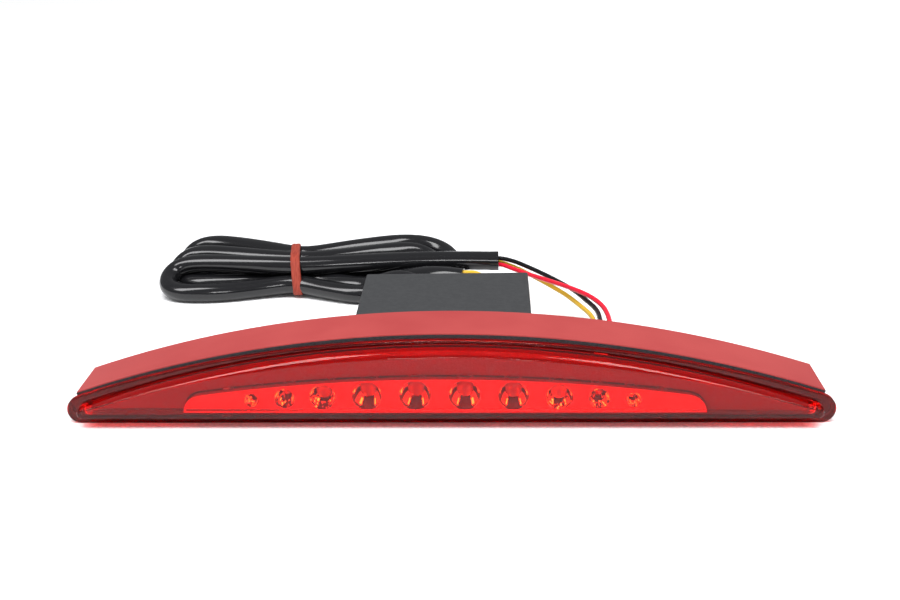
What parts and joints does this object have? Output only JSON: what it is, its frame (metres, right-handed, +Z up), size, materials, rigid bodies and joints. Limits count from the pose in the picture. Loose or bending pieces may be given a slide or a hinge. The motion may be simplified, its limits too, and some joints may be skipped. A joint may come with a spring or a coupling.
{
  "type": "motorcycle fender edge tail and brake light",
  "caption": "Crescent red tail and brake lamp with bright LED bowls, arched mounting tape, rear module box and a folded wire harness.",
  "frame": {"origin": "middle of the base of the lamp and its rear box, on the surface that they stand on; the free wires, sleeve and band are not counted", "axes": "+X along the lamp to its right end seen from the lens, -Y out of the lens, +Z up, across the arch"},
  "size_m": [0.2215, 0.1544, 0.0266],
  "materials": {
    "lens_red": "transparent moulded, polished",
    "seal_black": "matt bead",
    "surround_dark": "fine moulded texture",
    "reflector_bright": "vacuum-plated, mirror bright",
    "board_green": "solder-masked laminate",
    "screw_steel": "zinc plated",
    "housing_black": "fine moulded texture",
    "grommet_rubber": "matt",
    "foam_black": "closed-cell foam",
    "liner_red": "matt film, faint sheen",
    "box_grey": "fine moulded texture",
    "capacitor_blue": "shrink sleeve",
    "chip_black": "moulded epoxy",
    "wire_red": "vinyl insulation",
    "wire_black": "vinyl insulation",
    "wire_yellow": "vinyl insulation",
    "sleeve_black": "soft vinyl, glossy",
    "band_red": "natural rubber, matt",
    "led_resin": "clear tinted resin",
    "resistor_tan": "conformal coat"
  },
  "bodies": {
    "root": {"lens": "lens_red", "lens_seal": "seal_black", "inner_bezel": "surround_dark", "reflector_plate": "reflector_bright", "led_01": "led_resin", "led_02": "led_resin", "led_03": "led_resin", "led_04": "led_resin", "led_05": "led_resin", "led_06": "led_resin", "led_07": "led_resin", "led_08": "led_resin", "led_09": "led_resin", "led_10": "led_resin", "led_board": "board_green", "board_screw_left": "screw_steel", "board_screw_right": "screw_steel", "housing": "housing_black", "grommet": "grommet_rubber", "foam_tape": "foam_black", "tape_liner": "liner_red", "module_box": "box_grey", "module_lid": "box_grey", "driver_board": "board_green", "capacitor": "capacitor_blue", "regulator": "chip_black", "resistor_1": "resistor_tan", "resistor_2": "resistor_tan", "resistor_3": "resistor_tan", "lead_positive": "wire_red", "lead_negative": "wire_black", "wire_red": "wire_red", "wire_black": "wire_black", "wire_yellow": "wire_yellow", "sleeve_end": "sleeve_black", "harness_hank": "sleeve_black", "rubber_band": "band_red", "tail_red": "wire_red", "tail_black": "wire_black", "tail_yellow": "wire_yellow"}
  },
  "joints": []
}
